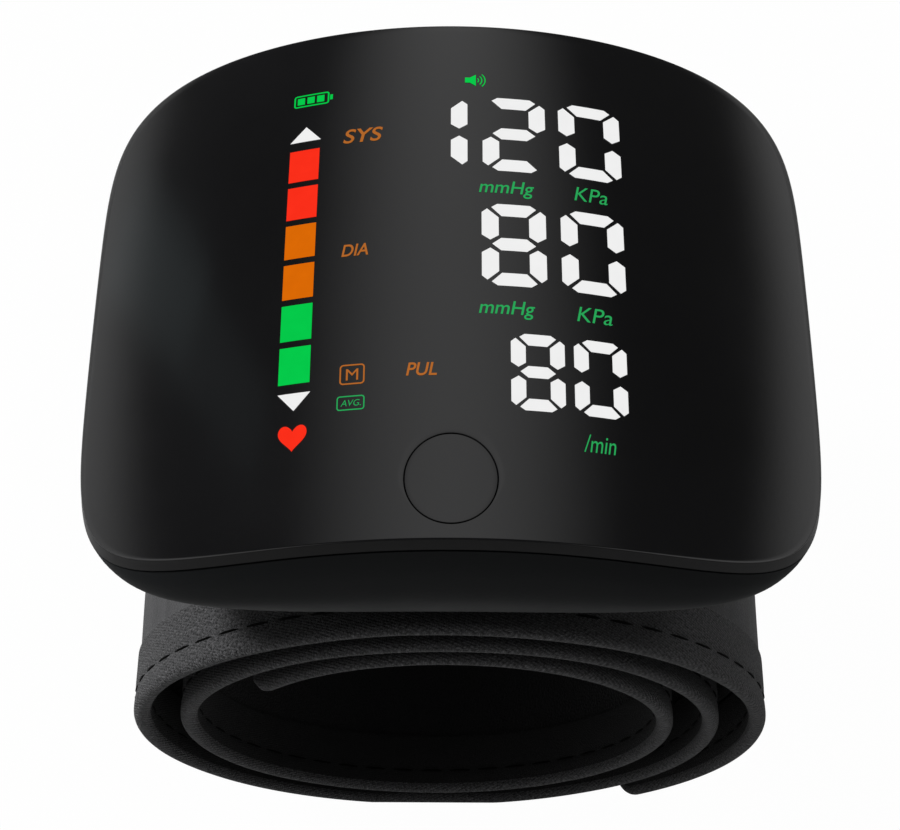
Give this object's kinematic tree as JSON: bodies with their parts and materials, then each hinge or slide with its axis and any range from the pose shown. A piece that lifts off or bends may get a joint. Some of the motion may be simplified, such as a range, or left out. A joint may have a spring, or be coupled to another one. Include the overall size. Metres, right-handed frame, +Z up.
{
  "type": "wrist blood pressure monitor",
  "caption": "Wrist blood pressure monitor: arched black housing with a lit display and a round start button, standing on its rolled fabric cuff.",
  "frame": {"origin": "on the table under the middle of the housing, at the flat underside of the rolled cuff", "axes": "+X across the wrist to the reader's right, +Y along the forearm away from the reader, +Z up through the display"},
  "size_m": [0.072, 0.0604, 0.0866],
  "materials": {
    "panel": "satin-gloss smoked black",
    "case": "fine satin black",
    "board": "solder mask",
    "black_part": "moulded",
    "white_part": "moulded",
    "light_part": "diffusing",
    "soft_tube": "silicone",
    "battery": "pouch foil",
    "steel": "plated",
    "rubber_seal": "smooth",
    "cuff_cloth": "fine woven nylon",
    "hook_cloth": "hook tape",
    "bow_sheet": "smooth sheet",
    "bladder_sheet": "welded sheet"
  },
  "bodies": {
    "monitor": {"face_panel": "panel", "lower_case": "case", "tact_switch": "black_part", "light_mask": "white_part", "bar_lights": "light_part", "digit_lights_1": "light_part", "digit_lights_2": "light_part", "digit_lights_3": "light_part", "main_board": "board", "processor": "black_part", "pressure_sensor": "black_part", "pump_motor": "steel", "pump_head": "white_part", "release_valve": "steel", "air_manifold": "white_part", "pump_tube": "soft_tube", "valve_tube": "soft_tube", "sensor_tube": "soft_tube", "battery_cell": "battery", "speaker": "black_part", "charging_socket": "steel", "case_screw_1": "steel", "case_screw_2": "steel", "case_screw_3": "steel", "case_screw_4": "steel", "air_nipple": "white_part", "nipple_seal": "rubber_seal", "cuff_root": "cuff_cloth", "bow_plate": "bow_sheet", "air_bladder": "bladder_sheet", "cuff_screw_1": "steel", "cuff_screw_2": "steel"},
    "flap": {"cuff_flap": "cuff_cloth", "hook_tape": "hook_cloth"},
    "wrap": {"cuff_wrap": "cuff_cloth"},
    "button": {"start_button": "panel"}
  },
  "joints": [
    {"name": "button_press", "type": "slide", "parent": "monitor", "child": "button", "axis": [0, 0, -1], "range_m": [0, 0.0005], "stiffness_N_per_m": 600},
    {"name": "flap_open", "type": "hinge", "parent": "monitor", "child": "flap", "pos_m": [0.02737, 0, 0.05317], "axis": [0, -1, 0], "range_deg": [0, 75], "stiffness_Nm_per_rad": 0.02},
    {"name": "wrap_spread", "type": "hinge", "parent": "monitor", "child": "wrap", "pos_m": [-0.03307, 0, 0.0199], "axis": [0, 1, 0], "range_deg": [0, 25], "stiffness_Nm_per_rad": 0.05}
  ],
  "couplings": [
    {"joint": "wrap_spread", "follows": "flap_open", "ratio": 0.33333}
  ]
}
